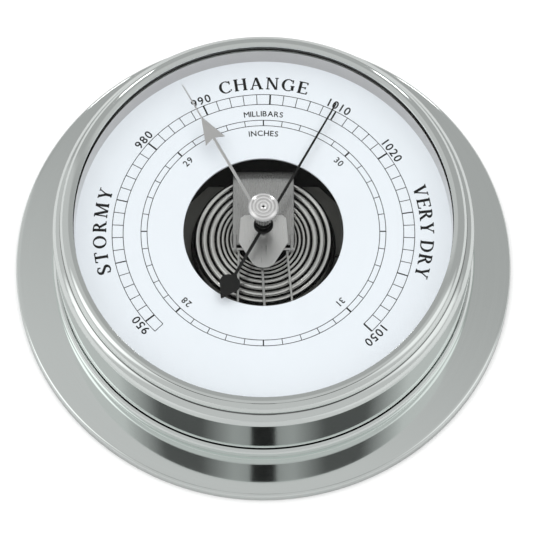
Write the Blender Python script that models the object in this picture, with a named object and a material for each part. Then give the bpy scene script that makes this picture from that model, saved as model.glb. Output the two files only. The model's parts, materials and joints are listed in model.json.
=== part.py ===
"""Ship's aneroid barometer lying on its back, with an open-centre dial and a set hand.

The origin is the centre of the base underside, +Z points out of the dial and +Y points to 12 o'clock.
Every size below is in millimetres, and MM turns it into Blender's metres.
"""

import math

import bmesh
import bpy
from mathutils import Vector

MM = 0.001
GAP = 0.3
RING_STEPS = 48
CAPSULE_STEPS = 32
SMALL_STEPS = 16
SMOOTH_ANGLE = math.radians(35)
SIDEWAYS = (math.pi / 2, 0, math.pi / 2)
LENGTHWAYS = (0, math.pi / 2, 0)

# Turned case
FLANGE_RADIUS = 82.5
FLANGE_TOP = 4.1
FLANGE_EDGE = 1.2
FLANGE_INNER = 54.0
SPIGOT_RADIUS = 66.4
SPIGOT_TOP = 8.0
RECESS_RADIUS = 60.0
RECESS_DEPTH = 3.1
WALL_RADIUS = 68.5
WALL_THICK = 1.6
SHOULDER_RADIUS = 4.0
SHOULDER_HEIGHT = 32.6
SHOULDER_END = 72.5
BEAD_CENTRE = (66.6, 7.8)
BEAD_RADIUS = 3.7
CREST_CENTRE = (62.8, 37.8)
CREST_RADIUS = 3.0
CREST_SEAT = 1.1
BEZEL_INNER = 61.4
DRUM_MOUTH = 64.2
MOUTH_DEPTH = 2.1
LIP_HEIGHT = 0.45

# Glass and dial
GLASS_RADIUS = 62.5
GLASS_BOTTOM = 38.15
GLASS_THICK = 1.5
GLASS_HOLE = 2.05
GASKET_INNER = 62.0
GASKET_THICK = 0.45
BUSH_HOLE = 1.35
BUSH_NECK = 1.75
BUSH_RADIUS = 2.7
BUSH_FLANGE = 0.25
DIAL_TOP = 29.0
DIAL_THICK = 0.8
DIAL_RADIUS = 62.4
DIAL_HOLE = 26.1
VIEW_RADIUS = 61.3
CARRIER_INNER = 58.0
CARRIER_THICK = 1.6
POST_RING = 60.5
POST_RADIUS = 1.6

# Back of the case
COVER_BOTTOM = 1.6
COVER_THICK = 1.2
COVER_SCREW_RING = 57.0
COVER_SCREW_HEAD = 1.8
COVER_SCREW_SHANK = 0.9
COVER_SCREW_END = 6.0
COVER_SCREW_HOLE = 1.2
COVER_HOLE = 3.4
KEYHOLE_Y = 44.0
KEYHOLE_HEAD = 4.5
KEYHOLE_SLOT = 2.3
KEYHOLE_RISE = 6.0

# Movement frame
PLATE_BOTTOM = 6.0
PLATE_TOP = 7.2
PLATE_HALF = 27.0
PLATE_BACK = 25.4
PLATE_FRONT = -40.0
PLATE_CLIP = 8.5
PLATE_HOLE = 1.5
PLATE_SLIT = (22.3, 0.3)
SLIT_WIDTH = 0.9
PILLAR_RADIUS = 3.2
PLATE_SCREW_HEAD = 2.2
PLATE_SCREW_SHANK = 1.1
PLATE_SCREW_HOLE = 1.4
BRIDGE_WIDTH = 20.0
BRIDGE_THICK = 0.7
BRIDGE_TOP = 24.9
BRIDGE_LEG_Y = 24.9
BRIDGE_TIP_Y = -3.0
BRIDGE_FOOT_Y = 11.5
TOP_BEND = 6.0
FOOT_BEND = 3.0
ARBOR_HOLE = 0.9
HOOK_X = 9.3
HOOK_REACH = 0.95
HOOK_LENGTH = 4.9
HOOK_SECTION = (1.0, 0.6)
FOOT_SCREWS = ((-6.5, 16.5), (6.5, 16.5))
FRONT_SCREWS = ((-20.0, -36.0), (20.0, -36.0))
TONGUE_BOTTOM = 27.5
TONGUE_TOP = 28.2
TONGUE_HALF = 8.1
TONGUE_BACK = 6.2
TONGUE_FRONT = -12.4
TONGUE_WIDEST_Y = -3.4
TONGUE_HOLE = 1.1
TONGUE_POST = (6.2, 3.5)

# Capsule
CAPSULE_RIM = 23.9
CAPSULE_JOIN = 16.15
CAPSULE_TOP = 22.6
CAPSULE_BOTTOM = 10.5
SHELL_THICK = 0.7
CREST_RADII = (21.7, 19.3, 16.9, 14.8, 13.3, 11.9, 10.6, 9.4)
CREST_HALVES = (0.7, 0.72, 0.75, 0.5, 0.42, 0.4, 0.36, 0.34)
CREST_DEPTH = 1.1
CREST_ROUND = 0.3
UPPER_WALL = 22.9
LOWER_BEND = (22.8, 12.0)
LOWER_FLAT = 21.0
CAPSULE_FOOT = (1.6, 5.0)
BOSS_RADIUS = 2.6
BOSS_TOP = 1.55
CALIBRATION_SEAT = 5.6
CALIBRATION_END = 9.9
CALIBRATION_HEAD = 2.6
CALIBRATION_SHANK = 1.2

# Lever train: axle, link, rocking shaft and chain
AXLE = (-4.4, 24.6)
AXLE_RADIUS = 0.4
AXLE_HALF = 10.2
LEVER_PLATE_HALF = 3.0
LEVER_PLATE_DROP = 0.75
LEVER_PLATE_END = 1.4
LEVER_THICK = 0.5
WIRE_RADIUS = 0.35
WIRES = (("left", -8.05, -8.55), ("right", 7.7, 10.7))
WIRE_START = -0.7
WIRE_OVERHANG = 0.6
END_BAR_DROP = 0.65
LEVER_END_Y = -37.0
SHAFT = (-33.0, 9.45)
SHAFT_RADIUS = 0.8
SHAFT_HALF = 12.6
LINK_X = 4.5
LINK_TOP = 23.15
ARM_HUB = 1.9
ARM_THICK = 1.0
TRUNNION_X = 11.0
TRUNNION_THICK = 1.2
TRUNNION_HALF = 2.5
TRUNNION_TIP = (1.2, 2.0)
CHAIN_HALF = 0.4
CHAIN_START = -0.6
CHAIN_END = -33.4
CHAIN_OFFSET = 0.95
CHAIN_TURN = math.radians(3.0)
CHAIN_Z = 25.65
COIL_START = 1.6
COIL_GROWTH = 3.0
COIL_TURNS = 4
COIL_STEPS = 10
COIL_Z = 26.7
COIL_SECTION = (0.6, 0.15)
COIL_POST = (0.5, 5.5)

# Hands and knob
POINTER_ANGLE = 28.5
POINTER_Z = 32.7
POINTER_LENGTH = 50.3
POINTER_BLADE = (0.25, 0.5)
POINTER_BOSS = 2.4
POINTER_TAIL = ((0.5, -19.4), (2.4, -20.3), (3.5, -21.9), (3.4, -23.4), (2.1, -25.3), (0.2, -28.4))
ARBOR_PIVOT = (0.45, 24.25)
ARBOR_STEP = 26.2
ARBOR_TOP = 34.6
HUB_RADIUS = 2.3
HUB_NECK_TOP = 34.0
HUB_HEAD = 3.16
HUB_TOP = 35.3
HUB_EDGE = 0.28
SET_ANGLE = -28.5
SET_Z = 36.4
SET_LENGTH = 56.0
SET_TIP = 0.2
SET_STEM = 0.5
SET_BOSS = 2.3
SET_ARROW = ((0.25, 42.3), (3.6, 32.8), (SET_STEM, 34.0))
HAND_THICK = 0.4
ARBOR_RADIUS = 0.8
ARBOR_HOLE_IN_HAND = 1.1
SHAFT_BORE = 1.3
SET_SHAFT_RADIUS = 1.0
SHAFT_FLANGE = (1.6, 0.3)
KNOB_FLOOR = 47.2
KNOB_HEAD_THICK = 1.8
KNOB_NECK = 3.1
KNOB_HEAD = 4.95
KNOB_BOTTOM = 40.5
KNOB_TOP = 49.7
KNOB_EDGE = ((0.4, 0.1), (0, 0.5), (0, 1.1), (0.5, 1.55))
KNOB_CROWN = 2.6
KNOB_DIMPLE = (0.8, 0.4)

FINISHES = {
    "case_metal": ((0.86, 0.905, 0.885), 0.08, 1.0),
    "view_ring_metal": ((0.58, 0.57, 0.56), 0.18, 1.0),
    "glass": ((0.90, 0.95, 0.96), 0.02, 0.0),
    "gasket_rubber": ((0.02, 0.02, 0.02), 0.70, 0.0),
    "dial_white": ((0.82, 0.88, 0.96), 0.45, 0.0),
    "hand_black": ((0.012, 0.012, 0.012), 0.45, 0.0),
    "hand_silver": ((0.60, 0.60, 0.60), 0.28, 1.0),
    "knob_metal": ((0.88, 0.88, 0.87), 0.12, 1.0),
    "movement_black": ((0.22, 0.22, 0.21), 0.55, 0.0),
    "movement_steel": ((0.52, 0.52, 0.53), 0.32, 1.0),
    "capsule_nickel": ((0.78, 0.77, 0.745), 0.22, 1.0),
    "brass": ((0.72, 0.54, 0.26), 0.30, 1.0),
    "screw_steel": ((0.45, 0.46, 0.48), 0.30, 1.0),
}


def clear_scene():
    for obj in list(bpy.data.objects):
        bpy.data.objects.remove(obj)


def finish(slot):
    """The material of this slot, made once."""
    if slot in bpy.data.materials:
        return bpy.data.materials[slot]
    colour, roughness, metallic = FINISHES[slot]
    made = bpy.data.materials.new(slot)
    made.use_nodes = True
    shader = made.node_tree.nodes["Principled BSDF"]
    shader.inputs["Base Color"].default_value = (*colour, 1.0)
    shader.inputs["Roughness"].default_value = roughness
    shader.inputs["Metallic"].default_value = metallic
    return made


def placed(name, mesh, slot, origin=(0, 0, 0), turn=(0, 0, 0)):
    """Object of this mesh, with its origin in millimetres and its turn in radians."""
    bmesh.ops.recalc_face_normals(mesh, faces=mesh.faces)
    data = bpy.data.meshes.new(name)
    mesh.to_mesh(data)
    mesh.free()
    data.shade_smooth()
    data.set_sharp_from_angle(angle=SMOOTH_ANGLE)
    data.materials.append(finish(slot))
    obj = bpy.data.objects.new(name, data)
    obj.location = Vector(origin) * MM
    obj.rotation_euler = turn
    bpy.context.scene.collection.objects.link(obj)
    return obj


def arc(across, up, radius, start, end, steps):
    """Points of an arc about (across, up), from start to end degrees."""
    angles = [math.radians(start + (end - start) * i / steps) for i in range(steps + 1)]
    return [(across + radius * math.cos(a), up + radius * math.sin(a)) for a in angles]


def circle(across, up, radius, steps=SMALL_STEPS):
    return arc(across, up, radius, 0, 360, steps)[:-1]


def turned(name, profile, slot, steps=SMALL_STEPS, origin=(0, 0, 0), turn=(0, 0, 0)):
    """Solid of revolution about its own Z, from a closed (radius, height) outline."""
    mesh = bmesh.new()
    rings = []
    for radius, height in profile:
        if radius == 0:
            rings.append([mesh.verts.new((0, 0, height * MM))] * steps)
            continue
        points = circle(0, 0, radius * MM, steps)
        rings.append([mesh.verts.new((x, y, height * MM)) for x, y in points])
    for near, far in zip(rings, rings[1:] + rings[:1]):
        for i in range(steps):
            j = (i + 1) % steps
            corners = list(dict.fromkeys([near[i], near[j], far[j], far[i]]))
            if len(corners) > 2:
                mesh.faces.new(corners)
    return placed(name, mesh, slot, origin, turn)


def band(inner, outer, bottom, top):
    """Outline of a plain ring, or of a disc when inner is 0."""
    return [(inner, bottom), (outer, bottom), (outer, top), (inner, top)]


def add_prism(mesh, outline, bottom, top):
    base = mesh.faces.new([mesh.verts.new((x * MM, y * MM, bottom * MM)) for x, y in outline])
    lifted = bmesh.ops.extrude_face_region(mesh, geom=[base])["geom"]
    corners = [v for v in lifted if isinstance(v, bmesh.types.BMVert)]
    bmesh.ops.translate(mesh, verts=corners, vec=(0, 0, (top - bottom) * MM))


def plate(name, outline, bottom, top, slot, origin=(0, 0, 0), turn=(0, 0, 0)):
    """Flat piece of this (x, y) outline between two heights."""
    mesh = bmesh.new()
    add_prism(mesh, outline, bottom, top)
    return placed(name, mesh, slot, origin, turn)


def side_plate(name, outline, x, thick, slot, origin):
    """Upright plate of this (y, z) outline, thick along X, with its origin on a joint's axis."""
    local = [(y - origin[0], z - origin[1]) for y, z in outline]
    return plate(name, local, x - thick / 2, x + thick / 2, slot, (0, *origin), SIDEWAYS)


def swept(name, path, section, across, slot, origin=(0, 0, 0), turn=(0, 0, 0)):
    """Section carried along a flat path; its first size runs along across, square to the path."""
    mesh = bmesh.new()
    path = [Vector(point) for point in path]
    across = Vector(across)
    rings = []
    for i, point in enumerate(path):
        along = (path[min(i + 1, len(path) - 1)] - path[max(i - 1, 0)]).normalized()
        over = along.cross(across)
        rings.append([mesh.verts.new((point + across * a + over * b) * MM) for a, b in section])
    for near, far in zip(rings, rings[1:]):
        for i in range(len(section)):
            j = (i + 1) % len(section)
            mesh.faces.new((near[i], near[j], far[j], far[i]))
    mesh.faces.new(rings[0])
    mesh.faces.new(rings[-1])
    return placed(name, mesh, slot, origin, turn)


def oblong(width, height):
    right, top = width / 2, height / 2
    return [(-right, -top), (right, -top), (right, top), (-right, top)]


def mirrored(right_side):
    """Closed outline from its right side, listed from the tip down."""
    return right_side + [(-x, y) for x, y in reversed(right_side) if x > 0]


def cut(target, outlines, bottom, top, what="holes"):
    """Cut these outlines through the target, between two heights in its own frame."""
    mesh = bmesh.new()
    for outline in outlines:
        add_prism(mesh, outline, bottom, top)
    place = target.location / MM
    tool = placed(f"{target.name}_{what}_cutter", mesh, "screw_steel", place, target.rotation_euler)
    tool.hide_render = True
    tool.display_type = "WIRE"
    made = target.modifiers.new(what, "BOOLEAN")
    made.operation = "DIFFERENCE"
    made.solver = "EXACT"
    made.object = tool


def around(radius, start, count):
    """Centres of a ring of pieces, from a first angle in degrees."""
    angles = [math.radians(start + 360 * i / count) for i in range(count)]
    return [(radius * math.cos(a), radius * math.sin(a)) for a in angles]


def screw(name, spot, seat, end, head_radius, shank_radius, slot="screw_steel"):
    """Cheese-head screw at (x, y): its head starts at seat and its shank runs to the height end."""
    away = 1.0 if seat > end else -1.0
    top = seat + away
    profile = [(0, end), (shank_radius, end), (shank_radius, seat), (head_radius, seat)]
    profile += [(head_radius, top - away * 0.25), (head_radius - 0.25, top), (0, top)]
    return turned(name, profile, slot, 12, (*spot, 0))


def make_case():
    edge = arc(FLANGE_RADIUS - FLANGE_EDGE, FLANGE_TOP - FLANGE_EDGE, FLANGE_EDGE, 0, 90, 4)
    profile = [(FLANGE_RADIUS, 0), *edge, (SPIGOT_RADIUS, FLANGE_TOP), (SPIGOT_RADIUS, SPIGOT_TOP)]
    profile += [(FLANGE_INNER, SPIGOT_TOP), (FLANGE_INNER, RECESS_DEPTH)]
    profile += [(RECESS_RADIUS, RECESS_DEPTH), (RECESS_RADIUS, 0)]
    flange = turned("base_flange", profile, "case_metal", RING_STEPS)
    holes = [circle(x, y, COVER_SCREW_HOLE, 12) for x, y in around(COVER_SCREW_RING, 45, 4)]
    cut(flange, holes, RECESS_DEPTH - 1, COVER_SCREW_END + 2 * GAP)

    wall_gap = WALL_RADIUS + GAP
    spread = math.degrees(math.acos((wall_gap - BEAD_CENTRE[0]) / BEAD_RADIUS))
    bead = arc(*BEAD_CENTRE, BEAD_RADIUS, spread, -spread, 6)
    turned("foot_bead", bead, "case_metal", RING_STEPS)

    seat = CREST_CENTRE[1] - CREST_SEAT
    mouth = seat - MOUTH_DEPTH
    inner = WALL_RADIUS - WALL_THICK
    shoulder = arc(WALL_RADIUS - SHOULDER_RADIUS, SHOULDER_HEIGHT, SHOULDER_RADIUS, 0, SHOULDER_END, 4)
    profile = [(inner, FLANGE_TOP + GAP), (WALL_RADIUS, FLANGE_TOP + GAP), *shoulder]
    profile += [(DRUM_MOUTH, seat - GAP), (DRUM_MOUTH, mouth), (inner - 1, mouth), (inner, mouth - 1)]
    turned("case_drum", profile, "case_metal", RING_STEPS)

    crest = arc(*CREST_CENTRE, CREST_RADIUS, 0, 90, 4)
    lip = GLASS_BOTTOM + GLASS_THICK + GAP
    spigot = (GLASS_RADIUS + GAP, DRUM_MOUTH - GAP)
    profile = [(CREST_CENTRE[0] + CREST_RADIUS, seat), *crest]
    profile += [(BEZEL_INNER, lip + LIP_HEIGHT), (BEZEL_INNER, lip), (spigot[0], lip)]
    profile += [(spigot[0], SHOULDER_HEIGHT), (spigot[1], SHOULDER_HEIGHT), (spigot[1], seat)]
    turned("bezel_ring", profile, "case_metal", RING_STEPS)


def make_glass():
    top = GLASS_BOTTOM + GLASS_THICK
    turned("glass", band(GLASS_HOLE, GLASS_RADIUS, GLASS_BOTTOM, top), "glass", RING_STEPS)
    under = GLASS_BOTTOM - GAP
    low = under - GASKET_THICK
    turned("glass_gasket", band(GASKET_INNER, GLASS_RADIUS, low, under), "gasket_rubber", RING_STEPS)
    over = top + GAP
    bush = [(BUSH_HOLE, low), (BUSH_RADIUS, low), (BUSH_RADIUS, under), (BUSH_NECK, under), (BUSH_NECK, over)]
    bush += [(BUSH_RADIUS, over), (BUSH_RADIUS, over + BUSH_FLANGE), (BUSH_HOLE, over + BUSH_FLANGE)]
    turned("glass_bush", bush, "hand_black")


def make_dial():
    bottom = DIAL_TOP - DIAL_THICK
    turned("dial", band(DIAL_HOLE, DIAL_RADIUS, bottom, DIAL_TOP), "dial_white", RING_STEPS)
    ring_top = GLASS_BOTTOM - GASKET_THICK - 2 * GAP
    ring = band(VIEW_RADIUS, GLASS_RADIUS, DIAL_TOP + GAP, ring_top)
    turned("dial_ring", ring, "view_ring_metal", RING_STEPS)
    carrier_bottom = bottom - GAP - CARRIER_THICK
    carrier = band(CARRIER_INNER, SPIGOT_RADIUS, carrier_bottom, bottom - GAP)
    turned("dial_carrier", carrier, "movement_black", RING_STEPS)
    for i, spot in enumerate(around(POST_RING, 90, 3)):
        post = band(0, POST_RADIUS, SPIGOT_TOP + GAP, carrier_bottom - GAP)
        turned(f"carrier_post_{i + 1}", post, "brass", 12, (*spot, 0))


def make_rear_cover():
    top = COVER_BOTTOM + COVER_THICK
    disc = band(0, RECESS_RADIUS - GAP, COVER_BOTTOM, top)
    cover = turned("rear_cover", disc, "movement_black", RING_STEPS)
    spots = around(COVER_SCREW_RING, 45, 4)
    slot_top = KEYHOLE_Y + KEYHOLE_RISE
    half = math.degrees(math.asin(KEYHOLE_SLOT / KEYHOLE_HEAD))
    keyhole = arc(0, KEYHOLE_Y, KEYHOLE_HEAD, 90 + half, 450 - half, SMALL_STEPS)
    keyhole += arc(0, slot_top, KEYHOLE_SLOT, 0, 180, 6)
    holes = [circle(x, y, COVER_SCREW_HOLE, 12) for x, y in spots]
    cut(cover, [*holes, circle(0, 0, COVER_HOLE), keyhole], COVER_BOTTOM - 1, top + 1)
    for i, spot in enumerate(spots):
        seat = COVER_BOTTOM - GAP
        screw(f"cover_screw_{i + 1}", spot, seat, COVER_SCREW_END, COVER_SCREW_HEAD, COVER_SCREW_SHANK)


def make_movement_plate():
    inset, low, high = PLATE_HALF - PLATE_CLIP, PLATE_FRONT + PLATE_CLIP, PLATE_BACK - PLATE_CLIP
    right_side = [(inset, PLATE_FRONT), (PLATE_HALF, low), (PLATE_HALF, high), (inset, PLATE_BACK)]
    base = plate("movement_plate", mirrored(right_side), PLATE_BOTTOM, PLATE_TOP, "movement_black")
    spots = FOOT_SCREWS + FRONT_SCREWS
    holes = [circle(x, y, PLATE_SCREW_HOLE, 12) for x, y in spots]
    start, across = PLATE_SLIT
    slit = [(x + start + PLATE_HALF / 2, y + across) for x, y in oblong(PLATE_HALF, SLIT_WIDTH)]
    cut(base, [*holes, slit, circle(0, 0, PLATE_HOLE, 12)], PLATE_BOTTOM - 1, PLATE_TOP + 1)
    cover_top = COVER_BOTTOM + COVER_THICK
    foot_top = PLATE_TOP + GAP + BRIDGE_THICK
    for i, spot in enumerate(spots):
        pillar = band(PLATE_HOLE, PILLAR_RADIUS, cover_top + GAP, PLATE_BOTTOM - GAP)
        turned(f"movement_pillar_{i + 1}", pillar, "brass", 12, (*spot, 0))
        seat = foot_top + GAP if spot in FOOT_SCREWS else PLATE_TOP + GAP
        end = cover_top + 2 * GAP
        screw(f"movement_screw_{i + 1}", spot, seat, end, PLATE_SCREW_HEAD, PLATE_SCREW_SHANK)


def make_bridge():
    """C-shaped strip over the capsule, the two hooks on its tip, and the plate that holds the arbor."""
    middle = BRIDGE_TOP - BRIDGE_THICK / 2
    foot = PLATE_TOP + GAP + BRIDGE_THICK / 2
    outline = [(BRIDGE_FOOT_Y, foot)]
    outline += arc(BRIDGE_LEG_Y - FOOT_BEND, foot + FOOT_BEND, FOOT_BEND, -90, 0, 4)
    outline += arc(BRIDGE_LEG_Y - TOP_BEND, middle - TOP_BEND, TOP_BEND, 0, 90, 6)
    path = [(0, y, z) for y, z in [*outline, (BRIDGE_TIP_Y, middle)]]
    strip = swept("bridge_frame", path, oblong(BRIDGE_WIDTH, BRIDGE_THICK), (1, 0, 0), "movement_steel")
    holes = [circle(x, y, PLATE_SCREW_HOLE, 12) for x, y in FOOT_SCREWS]
    cut(strip, holes, foot - 2, foot + 2)
    cut(strip, [circle(0, 0, ARBOR_HOLE, 12)], middle - 2, middle + 2, "arbor_hole")

    y, z = AXLE
    curl = [(y + HOOK_LENGTH, z + HOOK_REACH), *arc(y, z, HOOK_REACH, 90, 270, 8)]
    for side, sign in (("left", -1), ("right", 1)):
        path = [(sign * HOOK_X, across, up) for across, up in curl]
        swept(f"bridge_hook_{side}", path, oblong(*HOOK_SECTION), (1, 0, 0), "movement_steel")

    half = TONGUE_HALF
    right_side = [(half - 1.9, TONGUE_BACK), (half - 0.6, TONGUE_BACK - 1.1), (half, TONGUE_WIDEST_Y)]
    right_side += [(3.3, TONGUE_FRONT + 1.2), (1.8, TONGUE_FRONT + 0.3), (0, TONGUE_FRONT)]
    top_plate = plate("arbor_plate", mirrored(right_side), TONGUE_BOTTOM, TONGUE_TOP, "movement_steel")
    cut(top_plate, [circle(0, 0, TONGUE_HOLE, 12)], TONGUE_BOTTOM - 1, TONGUE_TOP + 1)
    x, y = TONGUE_POST
    for side, sign in (("left", -1), ("right", 1)):
        post = band(0, 1.0, BRIDGE_TOP + GAP, TONGUE_BOTTOM - GAP)
        turned(f"arbor_plate_post_{side}", post, "brass", 12, (sign * x, y, 0))


def capsule_rim(join, rise):
    """Outline points of a shell's flat rim, on its joining plane and rising (or dropping) away from it."""
    inner, outer = CAPSULE_RIM - 1.3, CAPSULE_RIM - 0.7
    return [(inner, join), (CAPSULE_RIM, join), (CAPSULE_RIM, join + rise * 0.5), (outer, join + rise * 0.9)]


def make_capsule():
    """Two shells meeting at the rim; the upper one is corrugated."""
    valley = CAPSULE_TOP - CREST_DEPTH
    shoulder = CAPSULE_TOP - CREST_ROUND
    waves = []
    for i, (crest, half) in enumerate(zip(CREST_RADII, CREST_HALVES)):
        if i > 0:
            waves.append(((waves[-1][0] + crest + half) / 2, valley))
        waves += [(crest + half, shoulder), (crest + half / 2, CAPSULE_TOP)]
        waves += [(crest - half / 2, CAPSULE_TOP), (crest - half, shoulder)]
    waves.append((waves[-1][0] - CREST_ROUND, valley))
    inside = valley - SHELL_THICK
    profile = [*capsule_rim(CAPSULE_JOIN + GAP / 2, 1), (UPPER_WALL, valley)]
    profile += [*waves, (0, valley), (0, inside), (UPPER_WALL - SHELL_THICK, inside)]
    turned("capsule_upper", profile, "capsule_nickel", CAPSULE_STEPS)
    floor = CAPSULE_BOTTOM + SHELL_THICK
    wall, bend = LOWER_BEND
    profile = [*capsule_rim(CAPSULE_JOIN - GAP / 2, -1), (wall, bend), (LOWER_FLAT, CAPSULE_BOTTOM)]
    profile += [(0, CAPSULE_BOTTOM), (0, floor)]
    profile += [(LOWER_FLAT - SHELL_THICK / 2, floor), (wall - SHELL_THICK, bend + GAP)]
    turned("capsule_lower", profile, "capsule_nickel", CAPSULE_STEPS)
    turned("capsule_foot", band(*CAPSULE_FOOT, PLATE_TOP + GAP, CAPSULE_BOTTOM - GAP), "brass")
    turned("capsule_boss", band(0, BOSS_RADIUS, valley + GAP, valley + BOSS_TOP), "brass")
    sizes = (CALIBRATION_SEAT, CALIBRATION_END, CALIBRATION_HEAD, CALIBRATION_SHANK)
    screw("calibration_screw", (0, 0), *sizes)


def make_lever():
    """Axle in the bridge hooks, the plate under the bridge, the two wires and the bar across their ends."""
    y, z = AXLE
    axle = band(0, AXLE_RADIUS, -AXLE_HALF, AXLE_HALF)
    turned("lever_axle", axle, "movement_steel", 12, (0, y, z), LENGTHWAYS)
    top = -LEVER_PLATE_DROP
    rest = mirrored([(LEVER_PLATE_HALF, LEVER_PLATE_END - y), (LEVER_PLATE_HALF, WIRE_START)])
    plate("lever_plate", rest, top - LEVER_THICK, top, "movement_steel", (0, y, z))
    wire = circle(0, 0, WIRE_RADIUS, 8)
    end = LEVER_END_Y - y
    for side, start_x, end_x in WIRES:
        path = [(start_x, WIRE_START, 0), (end_x, end - WIRE_OVERHANG, 0)]
        swept(f"lever_wire_{side}", path, wire, (0, 0, 1), "movement_steel", (0, y, z))
    ends = [end_x for side, start_x, end_x in WIRES]
    width = ends[1] - ends[0] + 4 * WIRE_RADIUS
    bar = [(x + sum(ends) / 2, across + end) for x, across in oblong(width, 2 * WIRE_OVERHANG)]
    top = -END_BAR_DROP
    plate("lever_end_bar", bar, top - LEVER_THICK, top, "movement_steel", (0, y, z))


def make_train():
    """Link, rocking shaft with its two arms, their brackets, and the chain to the arbor."""
    y, z = SHAFT
    link = [(x + LINK_X, across + LEVER_END_Y) for x, across in oblong(0.8, 1.4)]
    plate("connecting_link", link, z + 1.05, LINK_TOP, "movement_steel")
    shaft = band(0, SHAFT_RADIUS, -SHAFT_HALF, SHAFT_HALF)
    turned("rocking_shaft", shaft, "movement_steel", 12, (0, y, z), LENGTHWAYS)
    eye = circle(0, 0, SHAFT_RADIUS + GAP, 12)
    crank = [*arc(y, z, ARM_HUB, -150, 150, 10), (LEVER_END_Y - 0.8, z + 0.75), (LEVER_END_Y - 0.8, z - 0.75)]
    cut(side_plate("crank_arm", crank, LINK_X, ARM_THICK, "brass", SHAFT), [eye], LINK_X - 2, LINK_X + 2)
    arm_x = -y * math.sin(CHAIN_TURN) - CHAIN_OFFSET * math.cos(CHAIN_TURN)
    tall = [*arc(y, z, ARM_HUB, 120, 420, 10), (y + 0.6, CHAIN_Z - 0.6), (y - 0.6, CHAIN_Z - 0.6)]
    cut(side_plate("chain_arm", tall, arm_x, ARM_THICK, "brass", SHAFT), [eye], arm_x - 2, arm_x + 2)
    foot = PLATE_TOP + GAP
    near, far = y - TRUNNION_HALF, y + TRUNNION_HALF
    tip, rise = TRUNNION_TIP
    bracket = [(near, foot), (far, foot), (far, z), (y + tip, z + rise), (y - tip, z + rise), (near, z)]
    for side, sign in (("left", -1), ("right", 1)):
        x = sign * TRUNNION_X
        cut(side_plate(f"trunnion_{side}", bracket, x, TRUNNION_THICK, "brass", SHAFT), [eye], x - 2, x + 2)
    half = CHAIN_HALF
    ends = ((-half, CHAIN_START), (half, CHAIN_START), (half, CHAIN_END), (-half, CHAIN_END))
    chain = [(x - CHAIN_OFFSET, across) for x, across in ends]
    plate("chain", chain, CHAIN_Z - GAP, CHAIN_Z + GAP, "movement_steel", (0, 0, 0), (0, 0, CHAIN_TURN))


def make_hairspring():
    path = []
    for i in range(COIL_TURNS * COIL_STEPS + 1):
        angle = math.tau * i / COIL_STEPS
        radius = COIL_START + COIL_GROWTH * i / (COIL_TURNS * COIL_STEPS)
        path.append((radius * math.cos(angle), radius * math.sin(angle), COIL_Z))
    swept("hairspring", path, oblong(*COIL_SECTION), (0, 0, 1), "movement_steel")
    thick, place = COIL_POST
    post = band(0, thick, BRIDGE_TOP + GAP, TONGUE_BOTTOM - GAP)
    turned("hairspring_post", post, "brass", 8, (place, 0, 0))


def make_pointer():
    """Indicating hand with a long thin blade and a spade-shaped tail, on its hub and arbor."""
    hub_bottom = POINTER_Z + HAND_THICK + GAP
    pivot, foot = ARBOR_PIVOT
    arbor = [(0, foot), (pivot, foot), (pivot, ARBOR_STEP)]
    arbor += [(ARBOR_RADIUS, ARBOR_STEP), (ARBOR_RADIUS, ARBOR_TOP), (0, ARBOR_TOP)]
    turned("pointer_arbor", arbor, "movement_steel", 12)
    tip, root = POINTER_BLADE
    right = [(tip, POINTER_LENGTH), (root, POINTER_BOSS), *arc(0, 0, POINTER_BOSS, 70, -70, 8)]
    right += [(root, -POINTER_BOSS), *POINTER_TAIL]
    turn = (0, 0, -math.radians(POINTER_ANGLE))
    hand = plate("pointer", mirrored(right), 0, HAND_THICK, "hand_black", (0, 0, POINTER_Z), turn)
    cut(hand, [circle(0, 0, ARBOR_HOLE_IN_HAND, 12)], -1, 1)
    hub = [(ARBOR_HOLE_IN_HAND, hub_bottom), (HUB_RADIUS, hub_bottom), (HUB_RADIUS, HUB_NECK_TOP)]
    hub += [(HUB_HEAD, HUB_NECK_TOP + 0.2), (HUB_HEAD, HUB_TOP - HUB_EDGE), (HUB_HEAD - HUB_EDGE, HUB_TOP)]
    hub += [(0, HUB_TOP), (0, ARBOR_TOP + GAP), (ARBOR_HOLE_IN_HAND, ARBOR_TOP + GAP)]
    turned("pointer_hub", hub, "hand_black")


def make_set_hand():
    """Set hand with an arrowhead part way along it, its shaft through the glass, and its knob."""
    right = [(SET_TIP, SET_LENGTH), *SET_ARROW, (SET_STEM, SET_BOSS - 0.1)]
    right += arc(0, 0, SET_BOSS, 70, -90, 9)
    turn = (0, 0, -math.radians(SET_ANGLE))
    hand = plate("set_hand", mirrored(right), 0, HAND_THICK, "hand_silver", (0, 0, SET_Z), turn)
    cut(hand, [circle(0, 0, SHAFT_BORE, 12)], -1, 1)
    flange_top = SET_Z - GAP
    wide, thick = SHAFT_FLANGE
    shaft = [(0, flange_top - thick), (wide, flange_top - thick), (wide, flange_top)]
    shaft += [(SET_SHAFT_RADIUS, flange_top), (SET_SHAFT_RADIUS, KNOB_FLOOR - GAP), (0, KNOB_FLOOR - GAP)]
    turned("set_shaft", shaft, "brass")
    base = KNOB_TOP - KNOB_HEAD_THICK
    knob = [(SHAFT_BORE, KNOB_BOTTOM), (KNOB_NECK, KNOB_BOTTOM), (KNOB_NECK, base)]
    knob += [(KNOB_HEAD - inward, base + up) for inward, up in KNOB_EDGE]
    knob += [(KNOB_CROWN, KNOB_TOP), (KNOB_DIMPLE[0], KNOB_TOP - 0.05), (0, KNOB_TOP - KNOB_DIMPLE[1])]
    knob += [(0, KNOB_FLOOR), (SHAFT_BORE, KNOB_FLOOR)]
    turned("set_knob", knob, "knob_metal", 24)


def main():
    clear_scene()
    make_case()
    make_glass()
    make_dial()
    make_rear_cover()
    make_movement_plate()
    make_bridge()
    make_capsule()
    make_lever()
    make_train()
    make_hairspring()
    make_pointer()
    make_set_hand()


main()
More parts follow.
